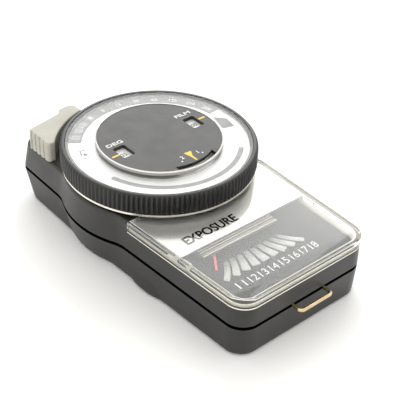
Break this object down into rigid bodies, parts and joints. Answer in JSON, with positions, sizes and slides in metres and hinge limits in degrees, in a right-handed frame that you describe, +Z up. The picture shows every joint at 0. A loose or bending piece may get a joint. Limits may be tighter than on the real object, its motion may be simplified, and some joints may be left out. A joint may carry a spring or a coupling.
{
  "type": "handheld light meter",
  "caption": "Handheld exposure meter lying on its back, with a knurled calculator dial, a clear reading window, a side slide knob and a wire strap loop.",
  "frame": {"origin": "where the dial axis meets the rest face of the lower shell", "axes": "+Z up along the dial axis, +Y to the sensor head, -Y to the reading window and strap loop"},
  "size_m": [0.0604, 0.1063, 0.03],
  "materials": {
    "casing_plastic": "satin",
    "clear_acrylic": "polished",
    "satin_plate": "satin",
    "scale_grey": "matte",
    "white_enamel": "semi-gloss",
    "brass": "machined",
    "spring_steel": "bright",
    "lens_plastic": "ribbed",
    "black_plastic": "matte",
    "cell_ceramic": "matte",
    "board_laminate": "satin",
    "resistor_body": "satin",
    "trimmer_plastic": "satin",
    "cell_can": "bright",
    "movement_alloy": "satin",
    "soft_iron": "machined",
    "screw_steel": "bright",
    "loop_wire": "polished",
    "dial_plastic": "satin",
    "trim_nickel": "polished",
    "white_disc": "printed",
    "clear_disc": "polished",
    "black_disc": "satin",
    "needle_red": "satin",
    "coil_copper": "enamelled",
    "knob_grey": "satin",
    "button_plastic": "satin",
    "clamp_cream": "satin",
    "cap_plastic": "satin"
  },
  "bodies": {
    "casing": {"lower_shell": "casing_plastic", "upper_shell": "casing_plastic", "clear_cover": "clear_acrylic", "faceplate": "satin_plate", "scale_plate": "scale_grey", "scale_slats": "white_enamel", "dial_bush": "brass", "bush_nut": "brass", "wave_washer": "spring_steel", "cell_window": "lens_plastic", "cell_holder": "black_plastic", "photocell": "cell_ceramic", "circuit_board": "board_laminate", "resistors": "resistor_body", "trimmers": "trimmer_plastic", "button_cell": "cell_can", "top_contact": "spring_steel", "side_contact": "spring_steel", "switch_block": "black_plastic", "moving_leaf": "spring_steel", "fixed_leaf": "spring_steel", "movement_frame": "movement_alloy", "movement_bridge": "movement_alloy", "yoke_ring": "soft_iron", "magnet_core": "soft_iron", "jewel_screws": "brass", "case_screws": "screw_steel", "movement_screws": "screw_steel", "strap_loop": "loop_wire"},
    "dial": {"dial_ring": "dial_plastic", "trim_ring": "trim_nickel", "scale_disc": "white_disc", "clear_disc": "clear_disc", "ring_clip": "spring_steel"},
    "speed_dial": {"speed_disc": "black_disc", "speed_spindle": "screw_steel", "spindle_clip": "spring_steel"},
    "needle": {"needle": "needle_red", "needle_staff": "screw_steel", "moving_coil": "coil_copper", "hairsprings": "brass"},
    "range_slide": {"range_knob": "knob_grey", "range_wiper": "brass"},
    "button": {"measure_button": "button_plastic"},
    "clamp": {"clamp_bar": "clamp_cream"},
    "zero_screw": {"zero_adjuster": "brass"},
    "battery_door": {"battery_cap": "cap_plastic"}
  },
  "joints": [
    {"name": "dial_turn", "type": "hinge", "parent": "casing", "child": "dial", "pos_m": [0, 0, 0.022], "axis": [0, 0, 1], "continuous": true},
    {"name": "speed_set", "type": "hinge", "parent": "dial", "child": "speed_dial", "pos_m": [0, 0, 0.028], "axis": [0, 0, 1], "range_deg": [-80, 80]},
    {"name": "needle_swing", "type": "hinge", "parent": "casing", "child": "needle", "pos_m": [-0.005, -0.0285, 0.0175], "axis": [0, 0, 1], "range_deg": [0, 70]},
    {"name": "range_shift", "type": "slide", "parent": "casing", "child": "range_slide", "axis": [0, 1, 0], "range_m": [0, 0.0035]},
    {"name": "button_press", "type": "slide", "parent": "casing", "child": "button", "axis": [-1, 0, 0], "range_m": [0, 0.0015], "stiffness_N_per_m": 250, "springref_m": -0.001, "deforming": ["moving_leaf"]},
    {"name": "clamp_lift", "type": "slide", "parent": "casing", "child": "clamp", "axis": [0, 0, 1], "range_m": [0, 0.00025]},
    {"name": "zero_turn", "type": "hinge", "parent": "casing", "child": "zero_screw", "pos_m": [-0.005, -0.0285, 0.002], "axis": [0, 0, 1], "range_deg": [-30, 30]},
    {"name": "cap_turn", "type": "hinge", "parent": "casing", "child": "battery_door", "pos_m": [0.011, 0.02, 0.001], "axis": [0, 0, 1], "range_deg": [0, 60]}
  ],
  "couplings": [
    {"joint": "clamp_lift", "follows": "button_press", "ratio": 0.1666}
  ]
}
